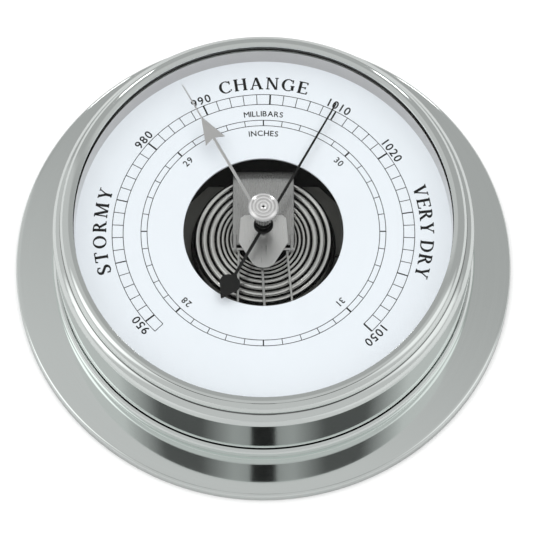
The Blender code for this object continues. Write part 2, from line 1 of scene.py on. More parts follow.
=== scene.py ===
"""Looks of the ship's aneroid barometer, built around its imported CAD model.

Lengths are in millimetres until MM turns them into metres. Angles on the dial are in degrees, clockwise
from 12 o'clock. Places of the camera and lamps, and sizes of lamps, are in metres.
"""

import json
import math

import bmesh
import bpy
from mathutils import Matrix, Vector

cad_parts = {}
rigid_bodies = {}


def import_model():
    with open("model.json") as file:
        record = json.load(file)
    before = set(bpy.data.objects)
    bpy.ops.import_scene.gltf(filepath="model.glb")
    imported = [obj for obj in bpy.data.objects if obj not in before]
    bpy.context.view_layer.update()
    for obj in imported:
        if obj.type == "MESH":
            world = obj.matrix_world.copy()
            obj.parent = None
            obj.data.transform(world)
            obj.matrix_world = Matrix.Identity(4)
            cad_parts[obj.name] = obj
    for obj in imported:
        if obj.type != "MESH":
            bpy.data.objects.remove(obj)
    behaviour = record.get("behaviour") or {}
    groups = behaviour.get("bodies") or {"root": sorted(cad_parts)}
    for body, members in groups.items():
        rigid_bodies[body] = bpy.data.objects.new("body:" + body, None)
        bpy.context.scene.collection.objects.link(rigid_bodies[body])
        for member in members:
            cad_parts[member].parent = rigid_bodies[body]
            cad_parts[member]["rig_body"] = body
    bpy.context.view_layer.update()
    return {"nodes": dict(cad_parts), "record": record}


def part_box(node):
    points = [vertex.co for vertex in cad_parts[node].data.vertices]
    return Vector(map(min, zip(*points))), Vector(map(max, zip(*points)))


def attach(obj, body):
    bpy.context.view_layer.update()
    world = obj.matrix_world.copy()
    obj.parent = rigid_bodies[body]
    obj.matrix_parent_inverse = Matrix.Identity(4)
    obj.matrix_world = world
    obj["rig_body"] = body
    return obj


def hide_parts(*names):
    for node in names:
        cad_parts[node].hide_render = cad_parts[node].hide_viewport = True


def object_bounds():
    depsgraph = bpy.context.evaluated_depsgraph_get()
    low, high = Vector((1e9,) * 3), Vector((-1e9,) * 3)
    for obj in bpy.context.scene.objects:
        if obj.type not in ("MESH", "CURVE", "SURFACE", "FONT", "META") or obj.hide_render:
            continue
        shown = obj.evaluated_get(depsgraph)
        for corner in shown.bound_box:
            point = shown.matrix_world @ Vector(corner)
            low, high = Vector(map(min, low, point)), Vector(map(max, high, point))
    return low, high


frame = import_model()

MM = 0.001
SLOTS = {part["node"]: part["material_slot"] for part in frame["record"]["subparts"]}

# CAD nodes whose finish differs from the rest of their material slot
OWN_FINISHES = {
    # The case's drum and bezel get painted shade along the seam between them
    "case_drum": "case_metal_with_painted_seam_shade",
    "bezel_ring": "case_metal_with_painted_seam_shade",
    "glass_gasket": "gasket_worn",
    "bridge_frame": "bridge_steel",
    "bridge_hook_left": "bridge_steel",
    "bridge_hook_right": "bridge_steel",
    "chain": "bridge_steel",
    "lever_wire_left": "tinned_wire",
    "lever_wire_right": "tinned_wire",
}

# Fineness of the meshes
RING_STEPS = 256
CAPSULE_STEPS = 192
HIDDEN_CAPSULE_STEPS = 128
SMALL_STEPS = 64
POST_STEPS = 48
SHALLOW_TURN = math.radians(32)
SHARP_EDGE = math.radians(50)

# Distances in metres within which points count as one, and how near the axis a point counts as on it
CAD_JOIN = 1e-6
CUT_JOIN = 2e-6
OWN_JOIN = 1e-7
ON_AXIS = 1e-5

# Widths of broken edges
EDGE_BREAK = 0.15
FINE_BREAK = 0.1
SCREW_BREAK = 0.12
CAPSULE_BREAK = 0.3
FORMED_BREAKS = (
    (0.2, ("rear_cover",)),
    (0.15, ("movement_plate", "bridge_frame", "arbor_plate")),
    (0.12, ("bridge_hook_left", "bridge_hook_right", "trunnion_left", "trunnion_right")),
    (0.1, ("lever_plate", "lever_end_bar", "connecting_link", "crank_arm", "chain_arm", "chain")),
    (0.1, ("pointer", "set_hand")),
)

# Black sheets inside the case that paint its shade: thickness, distance from the metal, radii, and heights of
# the one on the wall
SHADE_SHEET = 0.09
SHADE_SHEET_GAP = 0.03
COVER_SHADE_SHEET = (4.0, 38.5)
DIAL_SHADE_SHEET = (26.25, 57.6)
WALL_SHADE_SHEET = 53.95
WALL_SHADE_SHEET_HEIGHTS = (3.2, 25.5)
WALL_SHADE_SHEET_THICK = 0.12

# Slots across the heads of the screws: half width, depth, room for the cut, and turns in degrees
SLOT_HALF = 0.28
SLOT_DEPTH = 0.55
SLOT_CLEAR = 0.3
SLOT_FIRST_TURN = 25
SLOT_NEXT_TURN = 47

# Knob of the set hand, from its knurled neck to its head
KNOB_BORE = 1.3
KNOB_BORE_TOP = 47.2
KNOB_NECK = 3.1
KNOB_HEAD = 1.8
KNOB_TEETH = 22
KNOB_KNURL = 0.45
# Pitch of the knob's painted dark ring reflections, and radius of the painted shade in its centre hole
KNOB_PAINTED_RING_PITCH = 1.13
KNOB_PAINTED_MARK = 0.42

# Knob's head: distances inwards from its rim and up from its underside
KNOB_EDGE = (
    (0.55, 0.05), (0.12, 0.3), (0, 0.6), (0, 0.95), (0.15, 1.2), (0.5, 1.42), (0.75, 1.45), (0.95, 1.58),
)

# Knob's head: radii and distances down from its top
KNOB_FACE = (
    (3.55, 0.06), (3.4, 0.3), (3.05, 0.3), (2.85, 0.02), (2.3, 0), (2.15, 0.25), (1.85, 0.25),
    (1.7, 0), (1.15, 0), (0.8, 0.18), (0.38, 0.3), (0.34, 0.9), (0, 1.0),
)

# Tool marks per metre along each axis; round a turned piece they are per radian
MARK_SCALES = {"turned": (5000.0, 0.6, 5000.0), "brushed": (4200.0, 120.0, 4200.0), "even": (1400.0,) * 3}

# How far the roughness of a finish varies, as a share of it, and where in the clouds it does
ROUGH_SPREAD = 0.25
ROUGH_LIMITS = (0.1, 0.45)

# Strength of the tool marks' relief, and how much they brighten the colour
RELIEF_STRENGTH = 0.35
STREAK_GAIN = 1.03

# Painted dark reflections in rings on a finish, round painted shade in its centre hole: half the share and
# the grey of the darker rings, and how sharp the centre shade's edge is
PAINTED_RING_SHARE = 0.2
PAINTED_RING_GREY = 0.03
PAINTED_MARK_SHARP = 0.8

# Glass: its two tints, the most its smears roughen it, its mirror, and how the mirror grows at a slant
GLASS_TINTS = ((0.985, 0.99, 0.985, 1), (0.995, 0.998, 0.995, 1))
GLASS_ROUGHNESS = 0.06
GLASS_MIRROR = (0.4, 0.4, 0.4, 1)
GLASS_SLANT = 0.12

CASE_METAL = dict(
    colour=(0.87, 0.915, 0.895), roughness=0.06, marks="turned", depth=0.0003, stain=0.03, cloud=25.0
)
LOOKS = {
    "case_metal": CASE_METAL,
    "case_metal_with_painted_seam_shade": CASE_METAL,
    "view_ring_metal": dict(
        colour=(0.495, 0.475, 0.465), roughness=0.07, marks="turned", depth=0.001, stain=0.06
    ),
    "gasket_rubber": dict(colour=(0.015, 0.015, 0.015), roughness=0.7, metallic=0.0, gloss=0.15),
    "gasket_worn": dict(colour=(0.07, 0.07, 0.07), roughness=0.6, metallic=0.0, gloss=0.3),
    "dial_white": dict(
        colour=(0.85, 0.89, 0.95), roughness=0.4, metallic=0.0, depth=0.003, stain=0.012, cloud=30.0
    ),
    "hand_black": dict(
        colour=(0.010, 0.010, 0.010), roughness=0.5, metallic=0.0, stain=0.3, cloud=200.0, gloss=0.25
    ),
    "hand_silver": dict(colour=(0.93, 0.92, 0.92), roughness=0.4, marks="brushed", depth=0.002),
    "knob_metal": dict(
        colour=(0.98, 0.98, 0.97), roughness=0.17, metallic=0.7, marks="turned", depth=0.003, stain=0.05
    ),
    "movement_black": dict(
        colour=(0.26, 0.26, 0.245), roughness=0.5, metallic=0.0, depth=0.02, stain=0.25, cloud=120.0
    ),
    "movement_steel": dict(
        colour=(0.94, 0.935, 0.93), roughness=0.34, metallic=0.9, marks="brushed", depth=0.0012, stain=0.08
    ),
    "bridge_steel": dict(
        colour=(0.50, 0.498, 0.495), roughness=0.3, metallic=0.8, marks="brushed", depth=0.001, stain=0.1
    ),
    "tinned_wire": dict(colour=(0.5, 0.5, 0.49), roughness=0.4, metallic=0.35, depth=0.002, stain=0.1),
    "capsule_nickel": dict(colour=(0.98, 0.97, 0.95), roughness=0.2, depth=0.001, stain=0.06),
    "brass": dict(colour=(0.72, 0.54, 0.26), roughness=0.28, marks="turned", stain=0.15, cloud=150.0),
    "screw_steel": dict(colour=(0.50, 0.51, 0.53), roughness=0.28, marks="turned", stain=0.2, cloud=200.0),
}

# Painted shade on finishes: between which heights, and to which grey
PAINTED_SHADE_BANDS = {
    # painted shade along the seam between the case's drum and bezel, over a real narrow gap
    "case_metal_with_painted_seam_shade": ((36.2, 37.2), 0.2),
    # painted shade on the knob's knurled neck, under its head
    "knob_metal": ((40.0, 47.6), 0.3),
    # painted shade in the capsule's grooves
    "capsule_nickel": ((21.3, 22.2), 0.012),
}
# Height over which the painted shade begins and ends
PAINTED_SHADE_EDGE = 0.12

# Printing on the dial
INK_THICK = 0.03
LINE = 0.23
TICK = 0.24
MEDIUM_TICK = 0.4
BOLD_TICK = 0.55
MILLIBAR_RING = (45.7, 49.3)
MILLIBAR_ENDS = (948, 1050)
MILLIBAR_SWEEP = 270.0
MILLIBAR_BOLD = (950, 980, 990, 1000, 1010, 1020, 1050)
MILLIBAR_FIGURES = (950, 980, 990, 1010, 1020, 1050)
INCH_RING = (37.9, 39.9)
INCH_CELLS = 40
INCH_FIGURES = ((28, -135), (29, -45), (30, 45), (31, 135))

# Lettering: radius of its feet, height, and either a length to fill or the spacing of the letters
LABEL_RADIUS = 49.9
LABEL_HEIGHT = 2.9
INCH_LABEL_RADIUS = INCH_RING[0] - 3.9
INCH_LABEL_HEIGHT = 2.2
LETTER_GAP = 0.2
NARROW_FIGURE = 0.5
UNIT_HEIGHT = 1.95
UNIT_NAMES = (("MILLIBARS", 41.3, 13.0), ("INCHES", 34.2, 9.7))
WORD_RADIUS = 51.2
WORD_HEIGHT = 4.4
WORD_STRETCH = 1.3
WEATHER_WORDS = (("STORMY", -90, 30.6), ("CHANGE", 0, 29.9), ("VERY DRY", 90, 33.2))

# Strokes of the serif capitals, in cap heights, and how much the plain letters are thickened
THICK = 0.165
THIN = 0.08
BOLD = 0.014

# Camera, aimed at the object from the front; it looks down by CAMERA_DEPRESSION degrees
CAMERA_PLACE = (0.0, -0.3816, 0.9289)
CAMERA_DEPRESSION = 67.95
CAMERA_LENS = 192.86
CAMERA_SENSOR = 36.0
CAMERA_SHIFT = 0.0296

# Brightness of the sky: its limits, its value straight up, and its slopes along X and Y
SKY_LIMITS = (0.4, 0.54)
SKY_LEVEL = 1.16
SKY_SLOPES = (-0.7, -1.9)

# Darker gap in the sky: degrees above the camera, soft edges in height and ahead, and two ramps of brightness
GAP_ABOVE = 2.8
GAP_EDGES = (0.024, 0.014)
GAP_AHEAD = (0.02, -0.15)
GAP_RISE = (0.0, 0.09, 0.25, 0.33)
GAP_FALL = (0.1, 0.2, 0.0, -0.25)

# Bright patches of the sky: middle and half size along (Y, Z) of a direction, soft edge, and strength
PATCH_PLACE = (-0.15, 0.55)
PATCH_SIZE = (0.32, 0.42)
PATCH_EDGES = (1.0, 0.25)
PATCH_STRENGTH = 0.66
PATCH_LEVEL = 0.8
PATCH_SLOPE = -0.3

# Lamps: place, size, power, and whether polished metal mirrors them
LAMPS = {
    "overhead": ((0, 0.1, 1.6), (2.2, 2.2), 25.0, False),
    "spark_left": ((-0.36, 0.77, 0.53), (0.12, 0.12), 0.25, True),
    "spark_right": ((0.36, 0.77, 0.53), (0.12, 0.12), 0.25, True),
}

# Floor under the object and dark card behind the camera
FLOOR_HALF = 3000
FLOOR_THICK = 10
FLOOR_GAP = 0.05
CARD_HALF = 46
CARD_THICK = 1
CARD_BEHIND = 20

# Grey of the floor in mirrors: two distances from the middle in metres, and the grey at each
FLOOR_MIRRORED = (0.055, 0.1, 0.52, 0.62)


# Meshes

def span(node):
    """Outer radius, bottom and top of a CAD node that is turned about Z."""
    low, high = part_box(node)
    return (high.x - low.x) / 2 / MM, low.z / MM, high.z / MM


def placed(name, mesh, slot, body, look=None):
    """Object of this mesh, which is in metres, riding on a body, with its slot's finish or another look."""
    bmesh.ops.recalc_face_normals(mesh, faces=mesh.faces)
    data = bpy.data.meshes.new(name)
    mesh.to_mesh(data)
    mesh.free()
    data.shade_smooth()
    data.set_sharp_from_angle(angle=SHARP_EDGE)
    data.materials.append(FINISHES[look or slot])
    piece = bpy.data.objects.new(name, data)
    bpy.context.scene.collection.objects.link(piece)
    piece.modifiers.new("flat_faces_stay_flat", "WEIGHTED_NORMAL").keep_sharp = True
    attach(piece, body)
    return piece


def stand_in(name, mesh, node):
    """A finer piece that is shown in place of a CAD node."""
    piece = placed(name, mesh, SLOTS[node], frame["nodes"][node]["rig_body"], OWN_FINISHES.get(node))
    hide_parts(node)
    return piece


def cad_mesh(node):
    """The CAD node's mesh, with its corners joined."""
    mesh = bmesh.new()
    mesh.from_mesh(frame["nodes"][node].data)
    bmesh.ops.remove_doubles(mesh, verts=mesh.verts, dist=CAD_JOIN)
    return mesh


def section(node):
    """Outline of a turned CAD node as (radius, height) points, and its axis; a solid's starts on the axis."""
    low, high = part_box(node)
    axis = (low + high) / 2
    mesh = cad_mesh(node)
    everything = [*mesh.verts, *mesh.edges, *mesh.faces]
    sliced = bmesh.ops.bisect_plane(mesh, geom=everything, dist=CUT_JOIN, plane_co=axis, plane_no=(0, 1, 0))
    edges = [e for e in sliced["geom_cut"] if isinstance(e, bmesh.types.BMEdge)]
    edges = [e for e in edges if all(v.co.x > axis.x - ON_AXIS for v in e.verts)]
    edges = [e for e in edges if any(v.co.x > axis.x + ON_AXIS for v in e.verts)]
    links = {}
    for edge in edges:
        for near, far in (edge.verts, reversed(edge.verts)):
            links.setdefault(near, []).append(far)
    start = min(links, key=lambda v: (len(links[v]), v.co.z, v.co.x))
    walk = [start, links[start][0]]
    while len(links[walk[-1]]) > 1:
        onward = [v for v in links[walk[-1]] if v is not walk[-2]][0]
        if onward is start:
            break
        walk.append(onward)
    points = [Vector(((v.co.x - axis.x) / MM, v.co.z / MM)) for v in walk]
    mesh.free()
    return points, axis


def eased(points, edge_break):
    """The outline with smooth arcs and slightly rounded edges; one that starts on the axis stays open."""
    closed = points[0].x > edge_break
    count = len(points)
    outline = []
    for i, here in enumerate(points):
        if not closed and i in (0, count - 1):
            outline.append(here)
            continue
        before = points[i - 1] - here
        after = points[(i + 1) % count] - here
        turn = math.pi - before.angle(after)
        room = min(before.length, after.length) / 2
        if turn < math.radians(1):
            continue
        cutback = room if turn < SHALLOW_TURN else min(edge_break, room)
        start = here + before.normalized() * cutback
        end = here + after.normalized() * cutback
        for step in range(4):
            t = step / 3
            outline.append(start * (1 - t) ** 2 + here * 2 * t * (1 - t) + end * t**2)
    return outline


def lathed(outline, steps, centre=(0.0, 0.0), closed=True, reach=None):
    """Mesh of an outline turned about Z. reach(radius, height, angle) may change a point's radius."""
    mesh = bmesh.new()
    rings = []
    for radius, height in outline:
        if radius * MM < CAD_JOIN:
            rings.append([mesh.verts.new((centre[0], centre[1], height * MM))] * steps)
            continue
        ring = []
        for i in range(steps):
            angle = math.tau * i / steps
            out = (reach(radius, height, angle) if reach else radius) * MM
            x, y = centre[0] + out * math.cos(angle), centre[1] + out * math.sin(angle)
            ring.append(mesh.verts.new((x, y, height * MM)))
        rings.append(ring)
    pairs = list(zip(rings, rings[1:] + rings[:1])) if closed else list(zip(rings, rings[1:]))
    for near, far in pairs:
        for i in range(steps):
            j = (i + 1) % steps
            corners = list(dict.fromkeys([near[i], near[j], far[j], far[i]]))
            if len(corners) > 2:
                mesh.faces.new(corners)
    bmesh.ops.remove_doubles(mesh, verts=mesh.verts, dist=OWN_JOIN)
    return mesh


def respun(node, steps=SMALL_STEPS, edge_break=EDGE_BREAK):
    """A turned CAD node again, with fine steps, smooth arcs and broken edges."""
    points, axis = section(node)
    outline = eased(points, edge_break)
    mesh = lathed(outline, steps, (axis.x, axis.y), points[0].x > edge_break)
    return stand_in(f"{node}_turned", mesh, node)


def softened(node, edge_break):
    """A flat or bent CAD node again, with its sharp edges broken."""
    mesh = cad_mesh(node)
    bmesh.ops.dissolve_limit(mesh, angle_limit=math.radians(1), verts=mesh.verts, edges=mesh.edges)
    sharp = [e for e in mesh.edges if e.is_manifold and e.calc_face_angle() > SHARP_EDGE]
    bmesh.ops.bevel(
        mesh, geom=sharp, offset=edge_break * MM, segments=2, profile=0.5, affect="EDGES", clamp_overlap=True
    )
    return stand_in(f"{node}_formed", mesh, node)


def carved(piece, mesh):
    """Cut this mesh out of the piece, for good."""
    data = bpy.data.meshes.new("tool")
    bmesh.ops.recalc_face_normals(mesh, faces=mesh.faces)
    mesh.to_mesh(data)
    mesh.free()
    tool = bpy.data.objects.new("tool", data)
    bpy.context.scene.collection.objects.link(tool)
    made = piece.modifiers.new("cut", "BOOLEAN")
    made.operation = "DIFFERENCE"
    made.solver = "EXACT"
    made.object = tool
    piece.modifiers.move(len(piece.modifiers) - 1, 0)
    bpy.context.view_layer.update()
    graph = bpy.context.evaluated_depsgraph_get()
    weighted = piece.modifiers["flat_faces_stay_flat"]
    weighted.show_viewport = False
    graph.update()
    result = bpy.data.meshes.new_from_object(piece.evaluated_get(graph))
    weighted.show_viewport = True
    piece.modifiers.remove(made)
    piece.data = result
    bpy.data.objects.remove(tool)


def box_mesh(low, high):
    """Box between two corners in millimetres."""
    mesh = bmesh.new()
    bmesh.ops.create_cube(mesh, size=1.0)
    low, high = Vector(low) * MM, Vector(high) * MM
    for vert in mesh.verts:
        vert.co = Vector([(low[i] + high[i]) / 2 + vert.co[i] * (high[i] - low[i]) for i in range(3)])
    return mesh


# Finishes

def add(tree, kind, sockets=None, **settings):
    """A new node; a socket's value may be another node's output."""
    made = tree.nodes.new(kind)
    for key, value in settings.items():
        setattr(made, key, value)
    for key, value in (sockets or {}).items():
        if isinstance(value, bpy.types.NodeSocket):
            tree.links.new(value, made.inputs[key])
        else:
            made.inputs[key].default_value = value
    return made


def arithmetic(tree, operation, *values):
    return add(tree, "ShaderNodeMath", dict(enumerate(values)), operation=operation).outputs[0]


def ramp(tree, value, start, end, low=0.0, high=1.0):
    """Goes from low to high as the value goes from start to end, and stays level beyond them."""
    limits = {"From Min": start, "From Max": end, "To Min": low, "To Max": high}
    return add(tree, "ShaderNodeMapRange", {"Value": value, **limits}).outputs[0]


def blend(tree, share, first, second):
    """First colour with this share of the second; each is a colour or another node's output."""
    return add(tree, "ShaderNodeMix", {0: share, 6: first, 7: second}, data_type="RGBA").outputs[2]


def place_on_object(tree):
    """Coordinates in metres, which move with the piece."""
    return add(tree, "ShaderNodeTexCoord").outputs["Object"]


def axes(tree, place):
    return add(tree, "ShaderNodeSeparateXYZ", {0: place}).outputs


def from_axis(tree, place):
    """Distance from the Z axis."""
    flat = add(tree, "ShaderNodeVectorMath", {0: place, 1: (1, 1, 0)}, operation="MULTIPLY").outputs[0]
    return add(tree, "ShaderNodeVectorMath", {0: flat}, operation="LENGTH").outputs["Value"]


def tool_marks(tree, place, kind):
    """Coordinates stretched along the marks of a tool: turned about Z, brushed along Y, or even."""
    if kind == "turned":
        x, y, z = axes(tree, place)
        angle = arithmetic(tree, "ARCTAN2", y, x)
        place = add(tree, "ShaderNodeCombineXYZ", {0: from_axis(tree, place), 1: angle, 2: z}).outputs[0]
    sockets = {0: place, 1: MARK_SCALES[kind]}
    return add(tree, "ShaderNodeVectorMath", sockets, operation="MULTIPLY").outputs[0]


def finish(
    name, colour, roughness, metallic=1.0, marks="even", depth=0.006, stain=0.1, cloud=60.0, gloss=0.5
):
    """Material whose colour, roughness and fine relief come from tool marks and from a soft cloudiness.

    depth is the marks' relief in millimetres, stain how much the colour darkens in the clouds, cloud the
    clouds' scale per metre, and gloss the strength of a dull finish's mirror.
    """
    made = bpy.data.materials.new(name)
    made.use_nodes = True
    tree = made.node_tree
    shader = tree.nodes["Principled BSDF"]
    shader.inputs["Metallic"].default_value = metallic
    shader.inputs["Specular IOR Level"].default_value = gloss
    place = place_on_object(tree)
    clouds = add(tree, "ShaderNodeTexNoise", {"Vector": place, "Scale": cloud, "Detail": 3.0}).outputs[0]
    vector = tool_marks(tree, place, marks)
    lines = add(tree, "ShaderNodeTexNoise", {"Vector": vector, "Scale": 1.0, "Detail": 2.0}).outputs[0]
    dark = (*[c * (1 - stain) for c in colour], 1.0)
    light = (*[min(1.0, c * STREAK_GAIN) for c in colour], 1.0)
    streaks = blend(tree, lines, blend(tree, clouds, dark, (*colour, 1.0)), light)
    both = arithmetic(tree, "MULTIPLY", clouds, lines)
    lowest, highest = roughness * (1 - ROUGH_SPREAD), roughness * (1 + ROUGH_SPREAD)
    rough = ramp(tree, both, *ROUGH_LIMITS, lowest, highest)
    relief = {"Height": lines, "Strength": RELIEF_STRENGTH, "Distance": depth * MM}
    bump = add(tree, "ShaderNodeBump", relief).outputs[0]
    tree.links.new(streaks, shader.inputs["Base Color"])
    tree.links.new(rough, shader.inputs["Roughness"])
    tree.links.new(bump, shader.inputs["Normal"])
    return made


def repaint(made, share, dark):
    """Cover a finish with this share of a dark grey, as painted shade."""
    tree = made.node_tree
    base = tree.nodes["Principled BSDF"].inputs["Base Color"]
    mixed = blend(tree, share, base.links[0].from_socket, (dark, dark, dark, 1))
    tree.links.new(mixed, base)


def darken(made, heights, dark):
    """Cover a finish with painted shade: this dark grey between two heights in millimetres."""
    tree = made.node_tree
    height = axes(tree, place_on_object(tree))[2]
    low, high = [limit * MM for limit in heights]
    edge = PAINTED_SHADE_EDGE * MM
    inside = [ramp(tree, height, low, low + edge), ramp(tree, height, high, high - edge)]
    repaint(made, arithmetic(tree, "MULTIPLY", *inside), dark)


def add_rings(made, pitch, mark):
    """Paint darker rings of this pitch on a finish as painted reflections, round painted shade of this radius
    in the centre hole, both in millimetres.
    """
    tree = made.node_tree
    reach = from_axis(tree, place_on_object(tree))
    wave = arithmetic(tree, "SINE", arithmetic(tree, "MULTIPLY", reach, math.tau / (pitch * MM)))
    rings = arithmetic(tree, "MULTIPLY_ADD", wave, PAINTED_RING_SHARE, PAINTED_RING_SHARE)
    centre = ramp(tree, reach, mark * MM, PAINTED_MARK_SHARP * mark * MM)
    repaint(made, arithmetic(tree, "MAXIMUM", rings, centre), PAINTED_RING_GREY)


def clear_glass():
    """Thin clear glass: it lets light straight through, and mirrors a little more at a slant."""
    made = bpy.data.materials.new("glass")
    made.use_nodes = True
    tree = made.node_tree
    tree.nodes.remove(tree.nodes["Principled BSDF"])
    smears = {"Vector": place_on_object(tree), "Scale": 45.0, "Detail": 4.0}
    wiped = add(tree, "ShaderNodeTexNoise", smears).outputs[0]
    rough = ramp(tree, wiped, 0.0, 1.0, 0.0, GLASS_ROUGHNESS)
    tint = blend(tree, wiped, *GLASS_TINTS)
    through = add(tree, "ShaderNodeBsdfTransparent", {"Color": tint}).outputs[0]
    mirror = add(tree, "ShaderNodeBsdfGlossy", {"Color": GLASS_MIRROR, "Roughness": rough}).outputs[0]
    share = add(tree, "ShaderNodeLayerWeight", {"Blend": GLASS_SLANT}).outputs["Facing"]
    mixed = add(tree, "ShaderNodeMixShader", {0: share, 1: through, 2: mirror}).outputs[0]
    tree.links.new(mixed, tree.nodes["Material Output"].inputs["Surface"])
    return made


FINISHES = {name: finish(name, **settings) for name, settings in LOOKS.items()}
FINISHES["glass"] = clear_glass()
# Painted dark ring reflections on the knob, and painted shade in its centre hole
add_rings(FINISHES["knob_metal"], KNOB_PAINTED_RING_PITCH, KNOB_PAINTED_MARK)
# Painted shade in bands of height on some finishes
for slot_name, (heights, shade_grey) in PAINTED_SHADE_BANDS.items():
    darken(FINISHES[slot_name], heights, shade_grey)


# Printing

def on_dial(angle, radius, x=0.0, y=0.0):
    """Point on the dial: x to the right of and y further out than the place at this angle and radius."""
    turn = math.radians(angle)
    outward = Vector((math.sin(turn), math.cos(turn)))
    right = Vector((outward.y, -outward.x))
    return outward * (radius + y) + right * x


def strip(one_side, other_side):
    """Four-cornered faces between two rows of points."""
    return [
        [one_side[i], one_side[i + 1], other_side[i + 1], other_side[i]] for i in range(len(one_side) - 1)
    ]


def ring_line(radius, start, end):
    """Printed arc between two angles."""
    steps = max(2, round(end - start))
    angles = [start + (end - start) * i / steps for i in range(steps + 1)]
    edges = [[on_dial(a, radius + side * LINE / 2) for a in angles] for side in (-1, 1)]
    return strip(*edges)


def tick(angle, ring, width):
    """Printed mark across a ring."""
    low, high = ring
    corners = ((low, -0.5), (low, 0.5), (high, 0.5), (high, -0.5))
    return [[on_dial(angle, radius, side * width) for radius, side in corners]]


def slant(bottom_x, top_x, width, bottom=0.0, top=1.0):
    """Stroke between two heights, with level ends and this width across."""
    half = width / 2
    return [[(bottom_x - half, bottom), (bottom_x + half, bottom), (top_x + half, top), (top_x - half, top)]]


def stem(x):
    """Thick upright stroke."""
    return slant(x, x, THICK)


def slab(left, right, bottom):
    """Thin level stroke."""
    return [[(left, bottom), (right, bottom), (right, bottom + THIN), (left, bottom + THIN)]]


def bowl(x, y, across, up, start, end):
    """Round stroke, thick at its sides and thin at its top and bottom."""
    angles = [math.radians(start + (end - start) * i / 24) for i in range(25)]
    outer = [(x + across * math.cos(a), y + up * math.sin(a)) for a in angles]
    inner = [(x + (across - THICK) * math.cos(a), y + (up - THIN) * math.sin(a)) for a in angles]
    return strip(outer, inner)


def spine():
    """The S: one stroke, thin at both ends and thick where it crosses."""
    upper = [math.radians(30 + 175 * i / 12) for i in range(13)]
    lower = [math.radians(25 - 175 * i / 12) for i in range(13)]
    line = [Vector((0.27 + 0.18 * math.cos(a), 0.745 + 0.23 * math.sin(a))) for a in upper]
    line += [Vector((0.275 + 0.205 * math.cos(a), 0.255 + 0.23 * math.sin(a))) for a in lower]
    left, right = [], []
    for i, point in enumerate(line):
        along = (line[min(i + 1, len(line) - 1)] - line[max(i - 1, 0)]).normalized()
        share = math.sin(math.pi * i / (len(line) - 1))
        half = (THIN + (1.1 * THICK - THIN) * share**2) / 2
        across = Vector((-along.y, along.x)) * half
        left.append(point + across)
        right.append(point - across)
    return strip(left, right)


def serif_letter(letter):
    """Faces of a capital one unit high, and its width."""
    top = 1 - THIN
    shapes = {
        "S": (spine() + slant(0.43, 0.43, THIN, 0.72, 0.95) + slant(0.09, 0.09, THIN, 0.05, 0.3), 0.54),
        "T": (stem(0.32) + slab(0.02, 0.62, top) + slab(0.19, 0.45, 0)
              + slant(0.03, 0.05, THIN, 0.79, 1) + slant(0.61, 0.59, THIN, 0.79, 1), 0.64),
        "O": (bowl(0.4, 0.5, 0.39, 0.51, 0, 360), 0.80),
        "R": (stem(0.14) + bowl(0.24, 0.745, 0.3, 0.255, -90, 90) + slab(0.02, 0.26, top)
              + slab(0.14, 0.26, 0.49) + slant(0.57, 0.32, THICK, 0, 0.52)
              + slab(0.02, 0.27, 0) + slab(0.48, 0.7, 0), 0.70),
        "M": (slant(0.13, 0.15, THIN) + slant(0.45, 0.17, THICK) + slant(0.45, 0.75, THIN)
              + slant(0.79, 0.77, THICK) + slab(0.02, 0.24, 0) + slab(0.67, 0.92, 0)
              + slab(0.03, 0.2, top) + slab(0.74, 0.9, top), 0.94),
        "Y": (slant(0.33, 0.11, THICK, 0.44, 1) + slant(0.35, 0.58, THIN, 0.44, 1)
              + slant(0.33, 0.33, THICK, 0, 0.5)
              + slab(0.2, 0.46, 0) + slab(0, 0.25, top) + slab(0.47, 0.69, top), 0.68),
        "C": (bowl(0.4, 0.5, 0.39, 0.51, 48, 312) + slant(0.65, 0.65, THIN, 0.68, 0.96)
              + slant(0.66, 0.69, THIN, 0.12, 0.26), 0.70),
        "H": (stem(0.14) + stem(0.64) + slab(0.14, 0.64, 0.49) + slab(0.02, 0.27, 0)
              + slab(0.51, 0.76, 0) + slab(0.02, 0.27, top) + slab(0.51, 0.76, top), 0.78),
        "A": (slant(0.09, 0.35, THIN) + slant(0.62, 0.36, THICK) + slab(0.18, 0.52, 0.31)
              + slab(0, 0.2, 0) + slab(0.5, 0.75, 0), 0.74),
        "N": (slant(0.13, 0.13, THIN) + slant(0.62, 0.14, THICK) + slant(0.64, 0.64, THIN)
              + slab(0.03, 0.24, 0) + slab(0.01, 0.2, top) + slab(0.54, 0.74, top), 0.75),
        "G": (bowl(0.4, 0.5, 0.39, 0.51, 48, 300) + slant(0.65, 0.65, THIN, 0.68, 0.96)
              + slant(0.65, 0.65, THICK, 0.08, 0.42) + slab(0.53, 0.77, 0.4), 0.78),
        "E": (stem(0.14) + slab(0.02, 0.54, top) + slab(0.02, 0.57, 0) + slab(0.14, 0.44, 0.49)
              + slant(0.54, 0.52, THIN, 0.8, 1) + slant(0.55, 0.59, THIN, 0, 0.22)
              + slant(0.44, 0.44, THIN, 0.42, 0.61), 0.60),
        "V": (slant(0.36, 0.13, THICK) + slant(0.36, 0.61, THIN)
              + slab(0, 0.26, top) + slab(0.5, 0.73, top), 0.73),
        "D": (stem(0.14) + bowl(0.3, 0.5, 0.43, 0.5, -90, 90) + slab(0.02, 0.32, top)
              + slab(0.02, 0.32, 0), 0.75),
        " ": ([], 0.22),
    }
    faces, width = shapes[letter]
    return [[(x * WORD_STRETCH, y) for x, y in face] for face in faces], width * WORD_STRETCH


